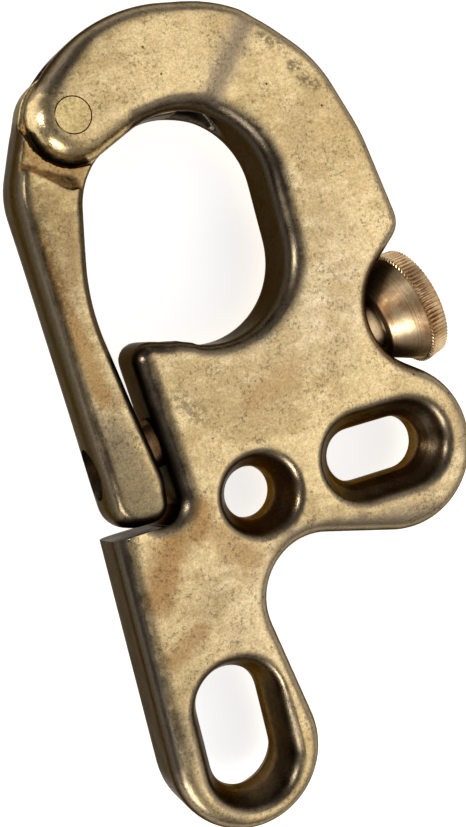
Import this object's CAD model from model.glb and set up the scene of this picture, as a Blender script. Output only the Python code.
import math

import bmesh
import bpy
from mathutils import Matrix, Vector


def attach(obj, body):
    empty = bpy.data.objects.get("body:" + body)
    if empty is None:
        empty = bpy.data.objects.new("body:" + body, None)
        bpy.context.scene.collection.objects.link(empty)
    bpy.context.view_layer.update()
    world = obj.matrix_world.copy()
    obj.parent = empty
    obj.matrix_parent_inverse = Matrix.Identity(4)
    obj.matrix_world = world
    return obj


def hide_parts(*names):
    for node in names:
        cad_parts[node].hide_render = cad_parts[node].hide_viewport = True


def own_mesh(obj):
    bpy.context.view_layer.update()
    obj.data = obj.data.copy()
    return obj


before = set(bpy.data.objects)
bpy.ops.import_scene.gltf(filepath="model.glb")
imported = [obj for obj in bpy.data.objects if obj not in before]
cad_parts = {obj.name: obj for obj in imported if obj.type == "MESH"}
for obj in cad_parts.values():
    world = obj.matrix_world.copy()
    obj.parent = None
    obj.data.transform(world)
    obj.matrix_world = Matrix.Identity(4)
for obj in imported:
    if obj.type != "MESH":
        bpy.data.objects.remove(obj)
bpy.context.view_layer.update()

# ---- Cast body -------------------------------------------------------------------------------
# Hook, eye plate and leg in one sand casting of bronze. The crown is forked to take the gate,
# and the notch, bores and rivet holes are cut after casting.

# Lengths are in millimetres. A half is half a thickness, and every piece is centred on z = 0.
MM = 0.001
BODY_HALF = 6.0
FORK_HALF = 7.0
BODY_ROUND = 2.6
HOOK_C = (0.2, 38.4)
HOOK_R = 13.4
HINGE_C = (-12.779, 53.813)
TIP_C = (-12.429, 53.713)
TIP_R = 5.95
TIP_SOFTER = 1.1
TIP_REACH = TIP_R + 5
TIP_FADE = 4.0
LEG_EDGE = -20.85
LEDGE_Y = -0.3
END_SLOPE = 0.09
NOTCH_R = 3.0
NOTCH_C = (-13.7, 3.0)
NOSE = (-9.852, 21.284, 2.4)
NOTCH_SWEEP = 84
FORK_SLOT_HALF = 2.7
FORK_CUT_R = 20.3
FORK_CUT_C = (HOOK_C[0] - 9.7, HOOK_C[1] + 2.9)
FORK_FOOT_Y = HOOK_C[1] + 2
EYE_R = 3.6
SIDE_SLOT_C = (19.4, 0.8)
SIDE_SLOT_LENGTH = 14.2
SIDE_SLOT_WIDTH = 7.5
LEG_SLOT_C = (-9.95, -30.85)
LEG_SLOT_LENGTH = 17.5
LEG_SLOT_WIDTH = 9.6
RIVET_R = 2.4
# The plunger's line crosses X = 0 at PLUNGER_FROM, and places along it are counted from there.
PLUNGER_FROM = (0.0, 12.6)
PLUNGER_ANGLE = math.radians(12.2)
PLUNGER_WAY = Vector((math.cos(PLUNGER_ANGLE), math.sin(PLUNGER_ANGLE), 0))
PLUNGER_R = 3.4
ROD_R = 2.0
HUB_R = 3.6
KNOB_SEAT = 22.565
BORE_END = 17.565
NOTCH_FACE = -11.566
# The crown thickens to the fork in a step across it: a spot on the step, its way and its width.
CROWN_STEP_AT = Vector((9.4, 56.6))
CROWN_STEP_WAY = Vector((-0.76, 0.65))
CROWN_STEP_WIDTH = 3.4
# Outline as a belt round circles (x, y, radius). A negative radius is a hollow, and 0 a sharp corner.
BODY_CIRCLES = [
    (-10.1, -33.5, 10.75),
    (6.2, -16.1, -8.45),
    (21.7, 0.55, 11.7),
    (30.95, 19.292, -9.0),
    (26.1, 31.8, 3.5),
    (1.15, 37.0, 27.0),
    (7.3, 44.702, 18.5),
    (3.6, 45.002, 20.8),
    (0.6, 44.002, 22.1),
    (*TIP_C, TIP_R),
    (0.6, 40.55, -11.6),
    (0.9, 32.5, -11.5),
    (0.3, 36.45, -14.85),
    NOSE,
    (-10.895, 5.4, 0.0),
    (*NOTCH_C, -NOTCH_R),
    (-19.85, 3.7, 1.0),
    (LEG_EDGE, 0.9, 0.0),
]


def belt_heading(a, b):
    """Heading, in degrees, of a belt that leaves circle a for circle b."""
    dx, dy = b[0] - a[0], b[1] - a[1]
    return math.degrees(math.atan2(dy, dx) - math.asin((b[2] - a[2]) / math.hypot(dx, dy)))


def belt_turn(circles, i):
    """Heading of the belt where it meets circle i, and its turn there. A negative radius makes a hollow."""
    start = belt_heading(circles[i - 1], circles[i])
    end = belt_heading(circles[i], circles[(i + 1) % len(circles)])
    turn = (end - start + 900) % 360 - 180
    if circles[i][2] >= 0 and turn < -20:
        turn += 360
    if circles[i][2] < 0 and turn > 20:
        turn -= 360
    return start, turn


def swing(bm, vert, centre, turn, steps):
    """Arc of edges from a vertex round a centre, by a turn in degrees. Gives the vertex at its far end."""
    spun = bmesh.ops.spin(
        bm, geom=[vert], cent=(*centre, vert.co.z), axis=(0, 0, 1), dvec=(0, 0, 0),
        angle=math.radians(turn), steps=steps, use_duplicate=False,
    )
    return next(item for item in spun["geom_last"] if isinstance(item, bmesh.types.BMVert))


def belt_loop(bm, circles, inset, z, grain):
    """Closed loop of edges round the circles, drawn in by inset. Grain is the step along an arc."""
    ends = []
    edges = []
    for i, (cx, cy, radius) in enumerate(circles):
        start, turn = belt_turn(circles, i)
        reach = radius - (min(inset, radius - 0.1) if radius > 0 else inset)
        angle = math.radians(start)
        first = bm.verts.new((cx + reach * math.sin(angle), cy - reach * math.cos(angle), z))
        last = first
        if radius != 0:
            steps = max(4, math.ceil(abs(math.radians(turn) * radius) / grain))
            last = swing(bm, first, (cx, cy), turn, steps)
            run = first
            while run != last:
                edge = next(e for e in run.link_edges if e not in edges[-1:])
                edges.append(edge)
                run = edge.other_vert(run)
        ends.append((first, last))
    for i, (first, last) in enumerate(ends):
        edges.append(bm.edges.new((last, ends[(i + 1) % len(ends)][0])))
    return edges


def close_skin(bm, loops):
    """Skin over a stack of edge loops, with a lid on both ends."""
    for low, high in zip(loops, loops[1:]):
        bmesh.ops.bridge_loops(bm, edges=low + high)
    for lid in (loops[0], loops[-1]):
        bmesh.ops.contextual_create(bm, geom=lid)
    bmesh.ops.recalc_face_normals(bm, faces=bm.faces)


def rounded_slab(circles, half, edge, rise, grain):
    """Slab on a belt outline, from -half to half. Its long edges round in by edge over a height of rise."""
    bm = bmesh.new()
    loops = []
    for side in (-1, 1):
        leans = range(-90, 1, 15) if side < 0 else range(0, 91, 15)
        for lean in leans:
            a = math.radians(lean)
            z = side * (half - rise) + rise * math.sin(a)
            loops.append(belt_loop(bm, circles, edge * (1 - math.cos(a)), z, grain))
    close_skin(bm, loops)
    return bm


def raise_outline(bm, corners, height):
    """Prism on a drawn arc. Corners runs from its far end, round the rest of the outline, to its near end."""
    for pair in zip(corners, corners[1:]):
        bm.edges.new(pair)
    face = bmesh.ops.contextual_create(bm, geom=bm.edges[:])["faces"][0]
    raised = bmesh.ops.extrude_face_region(bm, geom=[face])["geom"]
    lifted = [item for item in raised if isinstance(item, bmesh.types.BMVert)]
    bmesh.ops.translate(bm, vec=(0, 0, height), verts=lifted)


def slice_across(bm, spot, way, **cleared):
    bmesh.ops.bisect_plane(
        bm, geom=bm.verts[:] + bm.edges[:] + bm.faces[:], plane_co=spot, plane_no=way, **cleared,
    )


def piece(name, bm):
    """Object in the hank's own frame, in metres, from a bmesh in millimetres."""
    bmesh.ops.scale(bm, vec=(MM, MM, MM), verts=bm.verts)
    mesh = bpy.data.meshes.new(name)
    bm.to_mesh(mesh)
    bm.free()
    obj = bpy.data.objects.new(name, mesh)
    bpy.context.scene.collection.objects.link(obj)
    return obj


def settle(obj):
    """Makes what the modifiers give the object's own mesh."""
    shaped = bpy.data.meshes.new_from_object(obj.evaluated_get(bpy.context.evaluated_depsgraph_get()))
    obj.modifiers.clear()
    obj.data = shaped


def cut(obj, *cutters):
    """Takes the cutters out of the object and throws them away."""
    for cutter in cutters:
        modifier = obj.modifiers.new("cut", "BOOLEAN")
        modifier.operation = "DIFFERENCE"
        modifier.solver = "EXACT"
        modifier.object = cutter
    settle(obj)
    for cutter in cutters:
        bpy.data.objects.remove(cutter)


def cast_skin(obj, grain, passes):
    """Runs the surface together as a casting's is, with soft corners."""
    remesh = obj.modifiers.new("skin", "REMESH")
    remesh.mode = "VOXEL"
    remesh.voxel_size = grain * MM
    smooth = obj.modifiers.new("soften", "SMOOTH")
    smooth.factor = 0.5
    smooth.iterations = passes
    settle(obj)


def lathe(profile, steps, place):
    """Solid turned from (along, radius) points and closed on its axis, which place puts in the hank."""
    bm = bmesh.new()
    verts = [bm.verts.new((radius, 0, along)) for along, radius in profile]
    edges = [bm.edges.new(pair) for pair in zip(verts, verts[1:])]
    bmesh.ops.spin(
        bm, geom=verts + edges, cent=(0, 0, 0), axis=(0, 0, 1), dvec=(0, 0, 0),
        angle=2 * math.pi, steps=steps, use_merge=True, use_duplicate=False,
    )
    bmesh.ops.remove_doubles(bm, verts=bm.verts, dist=1e-5)
    bmesh.ops.recalc_face_normals(bm, faces=bm.faces)
    bmesh.ops.transform(bm, matrix=place, verts=bm.verts)
    return bm


ON_HINGE = Matrix.Translation((*HINGE_C, 0))
ON_PLUNGER = (
    Matrix.Translation((*PLUNGER_FROM, 0)) @ Matrix.Rotation(PLUNGER_ANGLE, 4, "Z")
    @ Matrix.Rotation(math.pi / 2, 4, "Y")
)


def rod(radius, start, end, place):
    return lathe([(start, 0), (start, radius), (end, radius), (end, 0)], 96, place)


def to_both_faces(wall):
    """Profile of a hole from one face to the other, out of its (height, width) points from the middle up."""
    return [(-z, out) for z, out in reversed(wall[1:])] + wall


def oblong_cutter(centre, length, width, flare, upright):
    """Cutter for a lashing slot: a narrow neck, walls that open to both faces and a rounded lip."""
    bm = bmesh.new()
    offset = length / 2 - width / 2
    along = Vector((0, offset)) if upright else Vector((offset, 0))
    ends = [(centre[0] + way * along.x, centre[1] + way * along.y, width / 2) for way in (-1, 1)]
    wall = [
        (0.0, 0.0), (0.9, 0.0), (1.5, 0.12), (4.3, flare), (5.1, flare + 0.35), (5.7, flare + 0.9),
        (6.0, flare + 1.5), (7.2, flare + 3.6),
    ]
    close_skin(bm, [belt_loop(bm, ends, -out, z, 0.6) for z, out in to_both_faces(wall)])
    return piece("slot_cutter", bm)


def smooth_step(x):
    x = min(1.0, max(0.0, x))
    return x * x * (3 - 2 * x)


def body_blank():
    """The casting before it is cut: its cheeks have softer ends, and its crown is thicker at the fork."""
    bm = rounded_slab(BODY_CIRCLES, BODY_HALF, BODY_ROUND, BODY_ROUND, 0.8)
    for v in bm.verts:
        to_tip = Vector(TIP_C) - v.co.xy
        sunk = (BODY_HALF - abs(v.co.z)) / BODY_ROUND
        if sunk <= 1.0:
            soft = TIP_SOFTER * smooth_step((TIP_REACH - to_tip.length) / TIP_FADE)
            v.co.xy += to_tip.normalized() * soft * (1 - math.sqrt(max(0.0, 1 - (1 - sunk) ** 2)))
            v.co.z -= math.copysign(soft * sunk, v.co.z)
    across = Vector((*CROWN_STEP_WAY, 0)).normalized()
    for k in range(9):
        spot = Vector((*CROWN_STEP_AT, 0)) + across * CROWN_STEP_WIDTH * (k / 8 - 0.5)
        slice_across(bm, spot, across)
    for v in bm.verts:
        if v.co.y > HOOK_C[1]:
            share = smooth_step((v.co.xy - CROWN_STEP_AT).dot(across.xy) / CROWN_STEP_WIDTH + 0.5)
            v.co.z *= 1 + (FORK_HALF / BODY_HALF - 1) * share
    return bm


def fork_cutter():
    """Cutter for the crown's slot: the part of a disc that lies above the slot's foot."""
    bm = rod(FORK_CUT_R, -FORK_SLOT_HALF, FORK_SLOT_HALF, Matrix.Translation((*FORK_CUT_C, 0)))
    slice_across(bm, (0, FORK_FOOT_Y, 0), (0, -1, 0), clear_outer=True)
    bmesh.ops.holes_fill(bm, edges=bm.edges, sides=0)
    return piece("fork_cutter", bm)


def ledge_cutter():
    """Box with one rounded lower corner, tipped so that the ledge falls away to the back."""
    bm = bmesh.new()
    corner = bm.verts.new((NOTCH_C[0], LEDGE_Y, 0))
    last = swing(bm, corner, (NOTCH_C[0], LEDGE_Y + NOTCH_R), NOTCH_SWEEP, 12)
    high = bm.verts.new((NOTCH_C[0] + NOTCH_R - 0.1, LEDGE_Y + NOTCH_R + 0.3, 0))
    far = bm.verts.new((LEG_EDGE - 10, LEDGE_Y + 12, 0))
    low = bm.verts.new((LEG_EDGE - 10, LEDGE_Y, 0))
    raise_outline(bm, [last, high, far, low, corner], 40)
    bmesh.ops.translate(bm, vec=(0, -LEDGE_Y, -20 - BODY_HALF), verts=bm.verts)
    tip = Matrix.Rotation(-math.atan(END_SLOPE), 3, "X")
    bmesh.ops.rotate(bm, cent=(0, 0, 0), matrix=tip, verts=bm.verts)
    bmesh.ops.translate(bm, vec=(0, LEDGE_Y, BODY_HALF), verts=bm.verts)
    bmesh.ops.recalc_face_normals(bm, faces=bm.faces)
    return piece("ledge_cutter", bm)


def eye_cutter():
    """Cutter for the eye: a short neck, walls that open to both faces and a rounded lip."""
    wall = [
        (0.0, EYE_R), (1.0, EYE_R), (1.5, EYE_R + 0.12), (4.4, EYE_R + 1.45), (5.1, EYE_R + 1.75),
        (5.7, EYE_R + 2.25), (6.0, EYE_R + 2.8), (7.2, EYE_R + 5.0),
    ]
    return piece("eye_cutter", lathe([(-7.2, 0), *to_both_faces(wall), (7.2, 0)], 120, Matrix.Identity(4)))


def shader_node(tree, kind, sockets=None, **settings):
    """Adds a shader node. Each of its sockets is given a value, or another node's output to follow."""
    node = tree.nodes.new("ShaderNode" + kind)
    for name, value in settings.items():
        setattr(node, name, value)
    for name, value in (sockets or {}).items():
        if isinstance(value, bpy.types.NodeSocket):
            tree.links.new(value, node.inputs[name])
        else:
            node.inputs[name].default_value = value
    return node


def blend(tree, share, low, high):
    """Output that runs from the colour low to the colour high as share goes from 0 to 1."""
    return shader_node(tree, "Mix", {0: share, 6: low, 7: high}, data_type="RGBA").outputs[2]


def sums(tree, kind, first, second=0.0, third=0.0):
    """Output of one step of arithmetic on numbers or other nodes' outputs."""
    return shader_node(tree, "Math", {0: first, 1: second, 2: third}, operation=kind).outputs[0]


def spread(tree, value, low, high, start=0.0, end=1.0, smooth=True):
    """Value stretched from the span low to high on to the span start to end, and held there."""
    kind = "SMOOTHSTEP" if smooth else "LINEAR"
    sockets = {"Value": value, "From Min": low, "From Max": high, "To Min": start, "To Max": end}
    return shader_node(tree, "MapRange", sockets, interpolation_type=kind).outputs["Result"]


def noise(tree, place, scale, detail, rough):
    sockets = {"Vector": place, "Scale": scale, "Detail": detail, "Roughness": rough}
    return shader_node(tree, "TexNoise", sockets).outputs["Fac"]


def shader_group(name, inputs, outputs):
    """Empty shader node group, with its input and output nodes."""
    group = bpy.data.node_groups.new(name, "ShaderNodeTree")
    for label, kind, value in inputs:
        socket = group.interface.new_socket(label, in_out="INPUT", socket_type="NodeSocket" + kind)
        if value is not None:
            socket.default_value = value
    for label, kind in outputs:
        group.interface.new_socket(label, in_out="OUTPUT", socket_type="NodeSocket" + kind)
    return group, group.nodes.new("NodeGroupInput").outputs, group.nodes.new("NodeGroupOutput")


def vectors(tree, kind, first, second):
    """Output of one step of arithmetic on two vectors."""
    node = shader_node(tree, "VectorMath", {0: first, 1: second}, operation=kind)
    return node.outputs["Value" if kind == "DOT_PRODUCT" else "Vector"]


def scaled(tree, vector, share):
    return shader_node(tree, "VectorMath", {0: vector, "Scale": share}, operation="SCALE").outputs["Vector"]


def worn_mark():
    """Ragged patch of the face round a straight line: 1 on the line, and 0 beyond its reach."""
    tree, given, result = shader_group(
        "worn_mark",
        [("Place", "Vector", None), ("From", "Vector", None), ("To", "Vector", None),
         ("Reach", "Float", 0.001), ("Strength", "Float", 1.0)],
        [("Mask", "Float")],
    )
    flat = vectors(tree, "MULTIPLY", given["Place"], (1, 1, 0))
    run = vectors(tree, "SUBTRACT", given["To"], given["From"])
    way = vectors(tree, "SUBTRACT", flat, given["From"])
    along = vectors(tree, "DOT_PRODUCT", way, run)
    whole = vectors(tree, "DOT_PRODUCT", run, run)
    share = shader_node(tree, "Clamp", {0: sums(tree, "DIVIDE", along, whole)}).outputs["Result"]
    aside = vectors(tree, "SUBTRACT", way, scaled(tree, run, share))
    gap = shader_node(tree, "VectorMath", {0: aside}, operation="LENGTH").outputs["Value"]
    ragged = sums(tree, "SUBTRACT", noise(tree, given["Place"], 480, 5, 0.7), 0.5)
    reached = sums(tree, "MULTIPLY_ADD", ragged, 1.2, sums(tree, "DIVIDE", gap, given["Reach"]))
    mask = spread(tree, reached, 0.25, 1.0, 1.0, 0.0)
    tree.links.new(sums(tree, "MULTIPLY", mask, given["Strength"]), result.inputs["Mask"])
    return tree


CAST_MARKS = ("Stained", "Dulled", "Grimy", "Scarred", "Worn", "Sooty", "Warmed")


def cast_finish():
    """Sand-cast bronze: flat faces rubbed bright, rounded borders in brown foundry skin, and dark walls.

    Place and Normal are the surface's own. Rubbed, Pale, Clouded, Rust, Skin, Wall and Amber are its
    colours. Cloudy is how much of the face is clouded, and Speckled how strong its fine dark grain is.
    Forked darkens the inside of the fork. The rest are marks: Stained, Dulled, Grimy, Scarred, Worn
    bright, Sooty on a rounded border, and Warmed inside a hole.
    """
    tree, given, result = shader_group(
        "cast_finish",
        [("Place", "Vector", None), ("Normal", "Vector", None), ("Rubbed", "Color", (0.7, 0.5, 0.3, 1)),
         ("Pale", "Color", (0.8, 0.68, 0.48, 1)), ("Clouded", "Color", (0.4, 0.25, 0.1, 1)),
         ("Rust", "Color", (0.42, 0.22, 0.07, 1)), ("Skin", "Color", (0.3, 0.22, 0.14, 1)),
         ("Wall", "Color", (0.05, 0.03, 0.02, 1)), ("Amber", "Color", (0.20, 0.11, 0.035, 1)),
         ("Cloudy", "Float", 0.5), ("Speckled", "Float", 0.5),
         ("Forked", "Float", 0.0), *[(mark, "Float", 0.0) for mark in CAST_MARKS]],
        [("Color", "Color"), ("Roughness", "Float"), ("Height", "Float")],
    )
    place = given["Place"]
    # Rubbed face, its rounded border and the wall, told apart by how far the surface leans
    upright = sums(tree, "ABSOLUTE", shader_node(tree, "SeparateXYZ", {0: given["Normal"]}).outputs["Z"])
    upright = sums(tree, "MULTIPLY_ADD", given["Worn"], 0.9, upright)
    ragged = sums(tree, "SUBTRACT", noise(tree, place, 520, 5, 0.65), 0.5)
    height = sums(tree, "ABSOLUTE", shader_node(tree, "SeparateXYZ", {0: place}).outputs["Z"])
    inside = spread(tree, height, FORK_SLOT_HALF * MM, (FORK_SLOT_HALF + 0.4) * MM, 1.0, 0.0)
    forked = sums(tree, "MULTIPLY", given["Forked"], inside)
    face = spread(tree, sums(tree, "MULTIPLY_ADD", ragged, 0.16, upright), 0.86, 0.975)
    border = spread(tree, sums(tree, "MULTIPLY_ADD", ragged, 0.3, upright), 0.35, 0.84)
    sooty = sums(tree, "MULTIPLY", given["Sooty"], sums(tree, "SUBTRACT", 1.0, face))
    bared = sums(tree, "SUBTRACT", 1.0, sums(tree, "MAXIMUM", forked, sooty))
    border = sums(tree, "MULTIPLY", border, bared)
    # Clouds of tarnish, broad and streaky, with a finer mottle in them, and paler patches
    broad = noise(tree, place, 70, 5, 0.62)
    drawn = shader_node(tree, "Mapping", {"Vector": place, "Rotation": (0, 0, 0.35), "Scale": (1, 2.6, 1)})
    streaks = noise(tree, drawn.outputs["Vector"], 190, 5, 0.7)
    clouds = spread(tree, sums(tree, "MULTIPLY_ADD", streaks, 0.6, broad), 0.70, 0.94)
    clouds = sums(tree, "MULTIPLY", clouds, given["Cloudy"])
    mottle = spread(tree, noise(tree, place, 900, 6, 0.75), 0.36, 0.66, 0.0, 0.7)
    paler = spread(tree, noise(tree, place, 36, 3, 0.5), 0.42, 0.66)
    # Fine grain left by the sand, dark specks, and scattered pits
    grain = noise(tree, place, 3400, 2, 0.6)
    specks = spread(tree, noise(tree, place, 2100, 3, 0.7), 0.52, 0.63)
    gathered = spread(tree, noise(tree, place, 300, 3, 0.6), 0.38, 0.62, 0.25, 1.0)
    specks = sums(tree, "MULTIPLY", sums(tree, "MULTIPLY", specks, gathered), given["Speckled"])
    crusted = spread(tree, noise(tree, place, 1300, 4, 0.7), 0.42, 0.56)
    grime = sums(tree, "MULTIPLY", given["Grimy"], crusted)
    pits = shader_node(tree, "TexVoronoi", {"Vector": place, "Scale": 420, "Randomness": 1.0}, feature="F1")
    chance = shader_node(tree, "SeparateXYZ", {0: pits.outputs["Color"]}).outputs["X"]
    size = spread(tree, chance, 0.80, 1.0, 0.0, 0.12, smooth=False)
    pit = spread(tree, sums(tree, "SUBTRACT", size, pits.outputs["Distance"]), 0.0, 0.05)
    # Colour
    colour = blend(tree, paler, given["Rubbed"], given["Pale"])
    colour = blend(tree, clouds, colour, given["Clouded"])
    colour = blend(tree, mottle, colour, blend(tree, 0.5, colour, given["Clouded"]))
    colour = blend(tree, given["Stained"], colour, given["Rust"])
    colour = blend(tree, given["Dulled"], colour, given["Skin"])
    colour = blend(tree, face, given["Skin"], colour)
    colour = blend(tree, border, blend(tree, given["Warmed"], given["Wall"], given["Amber"]), colour)
    dark = blend(tree, 0.7, colour, given["Wall"])
    colour = blend(tree, sums(tree, "MAXIMUM", specks, grime), colour, dark)
    scar = sums(tree, "MULTIPLY", given["Scarred"], border)
    colour = blend(tree, scar, colour, blend(tree, mottle, given["Rust"], given["Wall"]))
    shade = spread(tree, grain, 0.3, 0.7, 0.78, 1.18, smooth=False)
    colour = scaled(tree, colour, shade)
    colour = blend(tree, pit, colour, given["Wall"])
    # Roughness and relief
    rough = spread(tree, noise(tree, place, 260, 4, 0.6), 0.3, 0.7, 0.25, 0.38, smooth=False)
    rough = sums(tree, "MULTIPLY_ADD", scar, 0.25, rough)
    waves = sums(tree, "MULTIPLY", noise(tree, place, 170, 2, 0.5), 8.0)
    relief = sums(tree, "MULTIPLY_ADD", grain, 1.8, waves)
    relief = sums(tree, "MULTIPLY_ADD", sums(tree, "MULTIPLY", mottle, scar), 9.0, relief)
    relief = sums(tree, "MULTIPLY_ADD", pit, -3.0, relief)
    tree.links.new(colour, result.inputs["Color"])
    tree.links.new(rough, result.inputs["Roughness"])
    tree.links.new(relief, result.inputs["Height"])
    return tree


WORN_MARK = worn_mark()
CAST_FINISH = cast_finish()
GLANCING_TINT = (0.36, 0.33, 0.28, 1)
RELIEF_STEP = 0.01
SHARP_FROM = 38


def metal(name, finish_group, marks=(), **values):
    """Metal whose colour, roughness and relief come from a finish group, which is given the values.

    Each mark is the input that it drives, the two ends of its line, its reach and its strength.
    """
    material = bpy.data.materials.new(name)
    material.use_nodes = True
    tree = material.node_tree
    shader = tree.nodes["Principled BSDF"]
    coords = shader_node(tree, "TexCoord").outputs
    finish = shader_node(tree, "Group", {"Place": coords["Object"], **values}, node_tree=finish_group)
    if "Normal" in finish.inputs:
        tree.links.new(coords["Normal"], finish.inputs["Normal"])
    masks = {}
    for label, first, last, reach, strength in marks:
        sockets = {
            "Place": coords["Object"], "From": (*(Vector(first) * MM), 0), "To": (*(Vector(last) * MM), 0),
            "Reach": reach * MM, "Strength": strength,
        }
        mask = shader_node(tree, "Group", sockets, node_tree=WORN_MARK).outputs["Mask"]
        masks[label] = sums(tree, "MAXIMUM", masks[label], mask) if label in masks else mask
    for label, mask in masks.items():
        tree.links.new(mask, finish.inputs[label])
    tree.links.new(finish.outputs["Color"], shader.inputs["Base Color"])
    tree.links.new(finish.outputs["Roughness"], shader.inputs["Roughness"])
    shader.inputs["Metallic"].default_value = 1.0
    shader.inputs["Specular Tint"].default_value = GLANCING_TINT
    relief = shader_node(tree, "Bump", {"Height": finish.outputs["Height"], "Distance": RELIEF_STEP * MM})
    tree.links.new(relief.outputs["Normal"], shader.inputs["Normal"])
    return material


def smooth_faces(obj):
    """Shades the faces as one skin, in which an edge stays sharp if it turns by more than SHARP_FROM."""
    obj.data.shade_smooth()
    obj.data.set_sharp_from_angle(angle=math.radians(SHARP_FROM))


cast_body = piece("cast_body", body_blank())
cut(
    cast_body,
    fork_cutter(),
    eye_cutter(),
    oblong_cutter(SIDE_SLOT_C, SIDE_SLOT_LENGTH, SIDE_SLOT_WIDTH, 2.0, upright=False),
    oblong_cutter(LEG_SLOT_C, LEG_SLOT_LENGTH, LEG_SLOT_WIDTH, 1.2, upright=True),
    piece("hub_cutter", rod(HUB_R + 0.5, KNOB_SEAT, KNOB_SEAT + 8, ON_PLUNGER)),
)
cast_skin(cast_body, 0.4, 4)
cut(
    cast_body,
    ledge_cutter(),
    piece("rivet_cutter", rod(RIVET_R + 0.04, -9, 9, ON_HINGE)),
    piece("bore_cutter", rod(PLUNGER_R + 0.1, NOTCH_FACE - 2, BORE_END, ON_PLUNGER)),
    piece("rod_cutter", rod(ROD_R + 0.1, 0, KNOB_SEAT + 2, ON_PLUNGER)),
)
smooth_faces(cast_body)
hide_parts("body")
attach(cast_body, "frame")
BODY_MARKS = [
    ("Dulled", (12.6, 60.6), (5.4, 52.0), 2.8, 0.9),
    ("Stained", (-8.3, 0.8), (-9.8, -2.5), 2.4, 0.9),
    ("Stained", (-13.5, -2.5), (-17.0, -9.0), 3.6, 0.9),
    ("Stained", (-17.3, -17.5), (-13.0, -15.2), 2.4, 0.7),
    ("Stained", (-6.5, -3.5), (-3.7, -8.0), 3.0, 0.6),
    ("Stained", (2.0, 13.0), (8.5, 14.5), 2.6, 0.4),
    ("Dulled", (3.0, -7.6), (24.0, -10.4), 3.4, 1.0),
    ("Dulled", (31.8, -3.0), (32.0, 6.0), 1.6, 0.6),
    ("Dulled", (-18.5, -26.0), (-14.0, -41.0), 2.4, 0.6),
    ("Grimy", (15.0, 59.3), (17.0, 57.5), 1.1, 1.0),
    ("Grimy", (18.5, 54.6), (21.0, 51.6), 1.5, 1.0),
    ("Grimy", (-8.0, 15.6), (-5.8, 12.6), 2.0, 0.8),
    ("Scarred", (-1.68, 60.4), (-1.66, 60.4), 0.25, 1.0),
    ("Worn", (-18.0, 55.0), (-13.0, 48.5), 5.0, 0.7),
    ("Worn", (-13.0, 48.5), (-8.0, 51.0), 4.0, 0.6),
    ("Sooty", (-20.8, -1.0), (-20.4, -31.0), 4.0, 0.9),
    ("Sooty", (-9.0, 21.0), (-10.9, 4.0), 3.6, 0.9),
    ("Sooty", (10.0, 48.0), (15.3, 38.0), 3.6, 0.7),
    ("Warmed", (0.0, 0.0), (0.1, 0.0), 9.0, 1.0),
    ("Warmed", (16.0, 0.8), (23.0, 0.8), 8.0, 1.0),
    ("Warmed", (-9.95, -35.0), (-9.95, -27.0), 8.5, 0.7),
]
cast_body.data.materials.append(metal(
    "cast bronze", CAST_FINISH, BODY_MARKS, Rubbed=(0.90, 0.69, 0.37, 1), Pale=(0.92, 0.75, 0.48, 1),
    Clouded=(0.50, 0.34, 0.14, 1), Rust=(0.46, 0.26, 0.10, 1), Skin=(0.34, 0.26, 0.165, 1),
    Wall=(0.062, 0.050, 0.036, 1), Amber=(0.17, 0.095, 0.035, 1), Cloudy=0.65, Speckled=0.8, Forked=1.0,
))

# ---- Gate ------------------------------------------------------------------------------------
# Cast bar that closes the hook. Its upper end is cut down to a tongue that swings on the rivet
# between the cheeks, and the plunger's tip enters the hole in its lower end.
GATE_HALF = 6.0
GATE_EDGE = 1.8
GATE_RISE = 4.4
GATE_WAIST = 0.12
GATE_DOME = 0.14
LAND_DROP = 1.1
STEP_AT = (-17.7, 47.2)
STEP_TURN = -32
SCAR_FROM = (-21.5, 49.7)
SCAR_TURN = -31
TONGUE_HALF = 2.6
CHEEK_ROOM_FROM = 129
CHEEK_ROOM_SWEEP = 141
GATE_END = 0.3
GATE_CIRCLES = [
    (LEG_EDGE + 4.6, GATE_END + 4, 4.0),
    (-14.43, GATE_END + 2.5, 2.5),
    (-17.73, 5.5, 6.0),
    (14.8, 29.85, -30.0),
    (-3.8, 40.5, -9.8),
    (*HOOK_C, -HOOK_R - 0.2),
    (2.073, 52.627, 0.7),
    (2.223, 53.767, 0.7),
    (*TIP_C, TIP_R + 0.45),
    (-10.17, 44.0, 12.2),
]


def cheek_room(side):
    """Cutter for one cheek's room: round the rivet, and all of the gate's upper end beyond it."""
    bm = bmesh.new()
    reach = TIP_R + 0.4
    angle = math.radians(CHEEK_ROOM_FROM)
    first = bm.verts.new((HINGE_C[0] + reach * math.cos(angle), HINGE_C[1] + reach * math.sin(angle), 0))
    last = swing(bm, first, HINGE_C, CHEEK_ROOM_SWEEP, 48)
    corners = [
        (HINGE_C[0] + 30, last.co.y), (HINGE_C[0] + 30, HINGE_C[1] + 30),
        (first.co.x + 15, first.co.y + 18.5),
    ]
    outer = [bm.verts.new((*corner, 0)) for corner in corners]
    raise_outline(bm, [last, *outer, first], side * 10)
    bmesh.ops.translate(bm, vec=(0, 0, side * TONGUE_HALF), verts=bm.verts)
    bmesh.ops.recalc_face_normals(bm, faces=bm.faces)
    return piece("cheek_room", bm)


def shoulder_step(side):
    """Cutter for the low land by the cheek, which ends in a shallow step across the gate's face."""
    bm = bmesh.new()
    bmesh.ops.create_cube(bm, size=1.0)
    bmesh.ops.scale(bm, vec=(30, 20, 4), verts=bm.verts)
    bmesh.ops.translate(bm, vec=(0, 10, side * (GATE_HALF - LAND_DROP + 2)), verts=bm.verts)
    bmesh.ops.rotate(
        bm, cent=(0, 0, 0), matrix=Matrix.Rotation(math.radians(STEP_TURN), 3, "Z"), verts=bm.verts,
    )
    bmesh.ops.translate(bm, vec=(*STEP_AT, 0), verts=bm.verts)
    return piece("step_cutter", bm)


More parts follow.
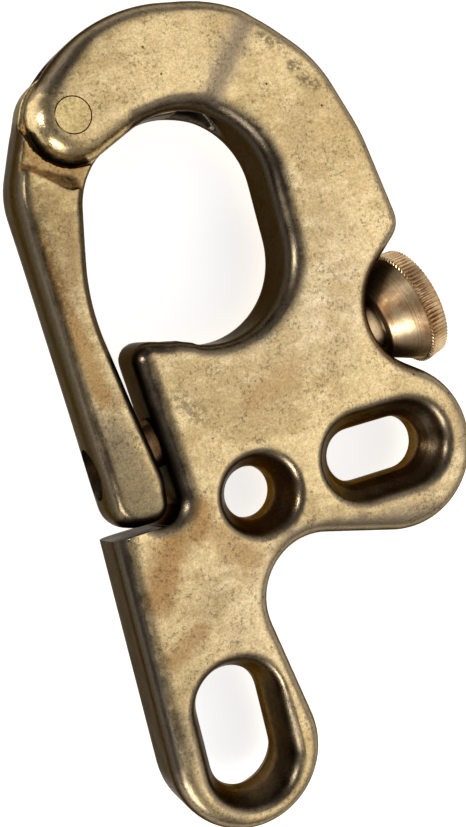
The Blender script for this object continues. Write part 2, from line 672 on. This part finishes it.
def gate_blank():
    """The gate before it is cut: waisted along its length, and domed and sloping at its lower end."""
    bm = rounded_slab(GATE_CIRCLES, GATE_HALF, GATE_EDGE, GATE_RISE, 0.6)
    for k in range(30):
        slice_across(bm, (0, 1 + 1.5 * k, 0), (0, 1, 0))
    for v in bm.verts:
        share = min(1.0, max(0.0, (9 - v.co.y) / 6))
        v.co.y -= END_SLOPE * (GATE_HALF - v.co.z) * share
        waist = smooth_step((v.co.y - 5) / 12) * smooth_step((46 - v.co.y) / 10)
        v.co.z *= 1 - GATE_DOME * smooth_step((12 - v.co.y) / 12) ** 1.5 - GATE_WAIST * waist
    return bm


def casting_scar(side):
    """Cutter for the rough groove that the casting left along the step, wider at its inner end."""
    profile = [
        (0, 0), (0.4, 0.3), (1.6, 0.5), (3.1, 0.42), (4.4, 0.6), (5.6, 0.72), (7.0, 0.95), (8.2, 0.9),
        (8.8, 0.5), (9, 0),
    ]
    spot = Matrix.Translation((*SCAR_FROM, side * (GATE_HALF - LAND_DROP + 0.35)))
    turn = Matrix.Rotation(math.radians(SCAR_TURN), 4, "Z") @ Matrix.Rotation(math.pi / 2, 4, "Y")
    return piece("scar_cutter", lathe(profile, 16, spot @ turn))


gate_bar = piece("gate_bar", gate_blank())
cut(gate_bar, *[cutter(side) for cutter in (shoulder_step, cheek_room, casting_scar) for side in (1, -1)])
cast_skin(gate_bar, 0.3, 3)
cut(
    gate_bar,
    piece("rivet_cutter", rod(RIVET_R + 0.06, -9, 9, ON_HINGE)),
    piece("latch_cutter", rod(PLUNGER_R + 0.15, -40, 0, ON_PLUNGER)),
)
smooth_faces(gate_bar)
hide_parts("gate")
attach(gate_bar, "gate")
GATE_MARKS = [
    ("Scarred", (-21.3, 49.6), (-13.9, 45.2), 0.9, 1.0),
    ("Stained", (-19.6, 50.8), (-13.6, 47.2), 2.2, 0.6),
    ("Stained", (-21.0, 40.0), (-17.5, 18.0), 1.8, 0.7),
    ("Grimy", (-20.0, 46.0), (-19.5, 30.0), 1.6, 0.7),
    ("Dulled", (-18.5, 12.0), (-15.5, 2.0), 5.5, 0.8),
    ("Worn", (-18.5, 49.6), (-13.5, 47.8), 2.4, 0.8),
    ("Worn", (-18.9, 56.0), (-16.0, 59.5), 2.4, 0.8),
    ("Sooty", (-23.0, 44.0), (-22.5, 6.0), 4.0, 0.45),
]
gate_bar.data.materials.append(metal(
    "gate bronze", CAST_FINISH, GATE_MARKS, Rubbed=(0.84, 0.63, 0.30, 1), Pale=(0.78, 0.63, 0.39, 1),
    Clouded=(0.38, 0.25, 0.11, 1), Rust=(0.46, 0.25, 0.08, 1), Skin=(0.25, 0.19, 0.115, 1),
    Wall=(0.072, 0.057, 0.038, 1), Cloudy=0.8, Speckled=0.8,
))

# ---- Hinge rivet -----------------------------------------------------------------------------
# Plain bronze pin through both cheeks of the fork and the gate's tongue. It is hammered over and
# filed flush with the cheeks, so that only its rim shows as a fine ring.
rivet = piece(
    "flush_rivet",
    lathe(
        [(-FORK_HALF, 0), (-FORK_HALF, RIVET_R - 0.12), (-FORK_HALF + 0.12, RIVET_R),
         (FORK_HALF - 0.12, RIVET_R), (FORK_HALF, RIVET_R - 0.12), (FORK_HALF, 0)],
        96, ON_HINGE,
    ),
)
smooth_faces(rivet)
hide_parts("hinge_rivet")
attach(rivet, "frame")
rivet.data.materials.append(metal(
    "rivet bronze", CAST_FINISH, Rubbed=(0.84, 0.65, 0.30, 1), Pale=(0.84, 0.67, 0.34, 1),
    Clouded=(0.50, 0.34, 0.13, 1), Skin=(0.16, 0.11, 0.06, 1), Wall=(0.03, 0.02, 0.012, 1),
    Cloudy=0.6, Speckled=0.6,
))

# ---- Plunger ---------------------------------------------------------------------------------
# Turned bronze pin that slides in the body's bore: its tip latches the gate, and its rod goes on
# through the body and carries the knob.
PIN_TIP = -18.054
SHOULDER = 4.565
ROD_END = 32.255


def turned_finish():
    """Bronze turned on a lathe: fine rings round the plunger's axis, and a warm brown tarnish in streaks."""
    tree, given, result = shader_group(
        "turned_finish",
        [("Place", "Vector", None), ("Bright", "Color", (0.6, 0.4, 0.2, 1)),
         ("Tarnish", "Color", (0.2, 0.1, 0.05, 1))],
        [("Color", "Color"), ("Roughness", "Float"), ("Height", "Float")],
    )
    place = given["Place"]
    along = vectors(tree, "DOT_PRODUCT", place, PLUNGER_WAY)
    rings = {"W": along, "Scale": 5200, "Detail": 3, "Roughness": 0.7}
    rings = shader_node(tree, "TexNoise", rings, noise_dimensions="1D").outputs["Fac"]
    bands = {"W": along, "Scale": 900, "Detail": 2, "Roughness": 0.6}
    bands = shader_node(tree, "TexNoise", bands, noise_dimensions="1D").outputs["Fac"]
    patches = noise(tree, place, 330, 4, 0.6)
    tarnish = spread(tree, sums(tree, "MULTIPLY_ADD", rings, 0.35, patches), 0.52, 0.92)
    colour = blend(tree, tarnish, given["Bright"], given["Tarnish"])
    specks = spread(tree, noise(tree, place, 2600, 2, 0.6), 0.56, 0.72, 0.0, 0.5)
    colour = blend(tree, specks, colour, given["Tarnish"])
    rough = spread(tree, patches, 0.3, 0.7, 0.30, 0.44, smooth=False)
    relief = sums(tree, "ADD", rings, sums(tree, "MULTIPLY", bands, 1.5))
    tree.links.new(colour, result.inputs["Color"])
    tree.links.new(rough, result.inputs["Roughness"])
    tree.links.new(relief, result.inputs["Height"])
    return tree


TURNED_FINISH = turned_finish()
pin = piece(
    "latch_pin",
    lathe(
        [(PIN_TIP, 0), (PIN_TIP, PLUNGER_R - 0.9), (PIN_TIP + 0.25, PLUNGER_R - 0.55),
         (PIN_TIP + 0.8, PLUNGER_R), (SHOULDER, PLUNGER_R), (SHOULDER, ROD_R), (ROD_END - 0.2, ROD_R),
         (ROD_END, ROD_R - 0.2), (ROD_END, 0)],
        96, ON_PLUNGER,
    ),
)
smooth_faces(pin)
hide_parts("plunger")
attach(pin, "plunger")
pin.data.materials.append(metal(
    "plunger bronze", TURNED_FINISH, Bright=(0.26, 0.15, 0.07, 1), Tarnish=(0.10, 0.05, 0.02, 1),
))

# ---- Plunger spring --------------------------------------------------------------------------
# Steel coils with closed ends between the plunger's shoulder and the end of its bore. They close
# up towards the bore's end as the plunger is pulled back.
SPRING_TURNS = 7
STEPS_A_TURN = 24
SPRING_WIRE_R = 0.35
COIL_R = 2.9
SPRING_START = SHOULDER + 0.05


def spring_coils():
    """Round wire spun round the plunger's line. The first and last turns lie close, the others open."""
    bm = bmesh.new()
    closed = 2 * SPRING_WIRE_R * 1.05
    room = BORE_END - SPRING_START - 2 * SPRING_WIRE_R - 0.05
    opened = (room - 2 * closed) / (SPRING_TURNS - 2)
    spot = Matrix.Translation((COIL_R, 0, SPRING_START + SPRING_WIRE_R))
    turn = Matrix.Rotation(math.pi / 2, 4, "X") @ Matrix.Rotation(-math.pi / 2, 4, "Z")
    bmesh.ops.create_circle(bm, cap_ends=True, segments=10, radius=SPRING_WIRE_R, matrix=spot @ turn)
    end = bm.faces[:]
    for turns, rise in ((1, closed), (SPRING_TURNS - 2, opened), (1, closed)):
        steps = turns * STEPS_A_TURN
        end = bmesh.ops.spin(
            bm, geom=end, cent=(0, 0, 0), axis=(0, 0, 1), dvec=(0, 0, rise / STEPS_A_TURN),
            angle=2 * math.pi * turns, steps=steps, use_duplicate=False,
        )["geom_last"]
    bmesh.ops.recalc_face_normals(bm, faces=bm.faces)
    bmesh.ops.transform(bm, matrix=ON_PLUNGER, verts=bm.verts)
    return bm


spring = piece("plunger_spring_coils", spring_coils())
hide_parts("plunger_spring")
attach(spring, "frame")
spring.data.materials.append(metal(
    "spring wire", TURNED_FINISH, Bright=(0.55, 0.52, 0.46, 1), Tarnish=(0.30, 0.27, 0.22, 1),
))
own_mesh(spring)

# ---- Pull knob -------------------------------------------------------------------------------
# Turned from bar: a short hub, a cone to grip behind, and a rim with straight knurling. It is
# fixed on the end of the plunger's rod.
HUB_END = KNOB_SEAT + 2.09
CONE_END = HUB_END + 4.9
RIM_END = CONE_END + 2.7
SMALL_R = 5.25
KNOB_R = 8.35
KNURL_DEPTH = 0.36
KNURLS = 80
ROOT_R = KNOB_R - KNURL_DEPTH
knob_body = piece(
    "knob_cone",
    lathe(
        [(KNOB_SEAT, 0), (KNOB_SEAT, HUB_R - 0.15), (KNOB_SEAT + 0.15, HUB_R), (HUB_END - 0.3, HUB_R),
         (HUB_END, HUB_R + 0.3), (HUB_END, SMALL_R - 0.2), (HUB_END + 0.08, SMALL_R - 0.06),
         (HUB_END + 0.22, SMALL_R + 0.1), (CONE_END - 0.05, ROOT_R - 0.12), (CONE_END + 0.05, ROOT_R - 0.05),
         (RIM_END - 0.35, ROOT_R - 0.02), (RIM_END - 0.05, KNOB_R - 0.62), (RIM_END, KNOB_R - 0.75),
         (RIM_END, 2.3), (RIM_END - 0.25, 2.05), (RIM_END - 0.25, 0)],
        168, ON_PLUNGER,
    ),
)
smooth_faces(knob_body)


def knurled_rim():
    """Ring of straight teeth: a circle pulled in between the teeth, drawn out along the axis."""
    bm = bmesh.new()
    made = bmesh.ops.create_circle(bm, segments=KNURLS * 4, radius=KNOB_R)["verts"]
    for i, v in enumerate(made):
        if i % 4 >= 2:
            v.co.xy *= ROOT_R / KNOB_R
    edges = bm.edges[:]
    drawn_in = 0.25 / KNOB_R
    bmesh.ops.scale(bm, vec=(1 - drawn_in, 1 - drawn_in, 1), verts=bm.verts)
    bmesh.ops.translate(bm, vec=(0, 0, CONE_END - 0.1), verts=bm.verts)
    bmesh.ops.contextual_create(bm, geom=edges)
    rings = [
        (CONE_END + 0.02, 1 + drawn_in), (CONE_END + 0.22, 1.0), (RIM_END - 0.35, 1 - 0.3 / KNOB_R),
        (RIM_END - 0.15, 1.0),
    ]
    for height, grow in rings:
        grown = bmesh.ops.extrude_edge_only(bm, edges=edges)["geom"]
        ring = [g for g in grown if isinstance(g, bmesh.types.BMVert)]
        rim = set(ring)
        edges = [g for g in grown if isinstance(g, bmesh.types.BMEdge) and all(v in rim for v in g.verts)]
        bmesh.ops.translate(bm, vec=(0, 0, height - ring[0].co.z), verts=ring)
        bmesh.ops.scale(bm, vec=(grow, grow, 1), verts=ring)
    bmesh.ops.contextual_create(bm, geom=edges)
    bmesh.ops.recalc_face_normals(bm, faces=bm.faces)
    bmesh.ops.transform(bm, matrix=ON_PLUNGER, verts=bm.verts)
    return bm


knurling = piece("knob_knurling", knurled_rim())
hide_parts("pull_knob")
knob_bronze = metal(
    "knob bronze", TURNED_FINISH, Bright=(0.84, 0.63, 0.38, 1), Tarnish=(0.38, 0.20, 0.08, 1),
)
for part in (knob_body, knurling):
    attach(part, "plunger")
    part.data.materials.append(knob_bronze)

# ---- Floor, lamps and camera -----------------------------------------------------------------
# Not part of the hank: a pale floor just under the knob's rim, soft lamps and a bright surround,
# with the camera above the hank's left side.
FLOOR_Z = -8.4
FLOOR_WHITE = (0.86, 0.86, 0.86, 1)
FLOOR_LIFT = 0.75
floor_mesh = bmesh.new()
bmesh.ops.create_grid(floor_mesh, x_segments=1, y_segments=1, size=3000)
bmesh.ops.translate(floor_mesh, vec=(0, 0, FLOOR_Z), verts=floor_mesh.verts)
floor = piece("floor", floor_mesh)
floor_paint = bpy.data.materials.new("floor paint")
floor_paint.use_nodes = True
tree = floor_paint.node_tree
seen = shader_node(tree, "LightPath").outputs
lift = sums(tree, "MAXIMUM", seen["Is Camera Ray"], seen["Is Glossy Ray"])
lift = sums(tree, "MAXIMUM", lift, seen["Is Transmission Ray"])
paint = tree.nodes["Principled BSDF"]
paint.inputs["Base Color"].default_value = FLOOR_WHITE
paint.inputs["Roughness"].default_value = 0.9
paint.inputs["Emission Color"].default_value = (1, 1, 1, 1)
tree.links.new(sums(tree, "MULTIPLY", lift, FLOOR_LIFT), paint.inputs["Emission Strength"])
floor.data.materials.append(floor_paint)

# The surround is a small studio: one broad soft light fills its right side and most of the ceiling.
SOFT_LIGHT = (1.15, 1.14, 1.12, 1)
FAR_SIDE = (0.11, 0.11, 0.115, 1)
world = bpy.data.worlds.new("surround")
bpy.context.scene.world = world
world.use_nodes = True
tree = world.node_tree
way = shader_node(tree, "SeparateXYZ", {0: shader_node(tree, "TexCoord").outputs["Generated"]}).outputs
right_side = spread(tree, way["X"], -0.25, 0.40)
ends = spread(tree, sums(tree, "ABSOLUTE", way["Y"]), 0.3, 0.85, 1.0, 0.45)
ceiling = spread(tree, way["Z"], 0.2, 0.6, 0.5, 1.0)
lit = sums(tree, "MULTIPLY", sums(tree, "MULTIPLY", right_side, ends), ceiling)
tree.links.new(blend(tree, lit, FAR_SIDE, SOFT_LIGHT), tree.nodes["Background"].inputs["Color"])
HANK_MIDDLE = Vector((5, 11, 0))


def soft_lamp(name, azimuth, elevation, distance, width, height, power):
    """Area lamp that looks at the middle of the hank. Its azimuth and elevation are in degrees."""
    data = bpy.data.lights.new(name, "AREA")
    data.shape = "RECTANGLE"
    data.size, data.size_y = width * MM, height * MM
    data.energy = power
    lamp = bpy.data.objects.new(name, data)
    bpy.context.scene.collection.objects.link(lamp)
    a, e = math.radians(azimuth), math.radians(elevation)
    away = Vector((math.cos(a) * math.cos(e), math.sin(a) * math.cos(e), math.sin(e)))
    turn = away.to_track_quat("Z", "Y").to_matrix().to_4x4()
    lamp.matrix_world = Matrix.Translation(away * distance * MM + HANK_MIDDLE * MM) @ turn


soft_lamp("lower left strip", 224, 27, 420, 190, 130, 0.65)
soft_lamp("upper left strip", 160, 20, 420, 80, 90, 0.38)

camera_data = bpy.data.cameras.new("camera")
camera = bpy.data.objects.new("camera", camera_data)
bpy.context.scene.collection.objects.link(camera)
camera_data.sensor_fit = "HORIZONTAL"
camera_data.sensor_width = 36.0
camera_data.lens = 106.86
camera_spot = Vector((-59.68, 33.86, 178.64)) * MM
camera_target = Vector((0.84, 10.95, 0.0)) * MM
image_up = Vector((0.2487, 0.9686, 0))
back = (camera_spot - camera_target).normalized()
right = image_up.cross(back).normalized()
up = back.cross(right)
camera.matrix_world = Matrix.Translation(camera_spot) @ Matrix((right, up, back)).transposed().to_4x4()
camera_data.clip_start = 0.01
bpy.context.scene.camera = camera

bpy.context.scene.view_settings.view_transform = "Standard"
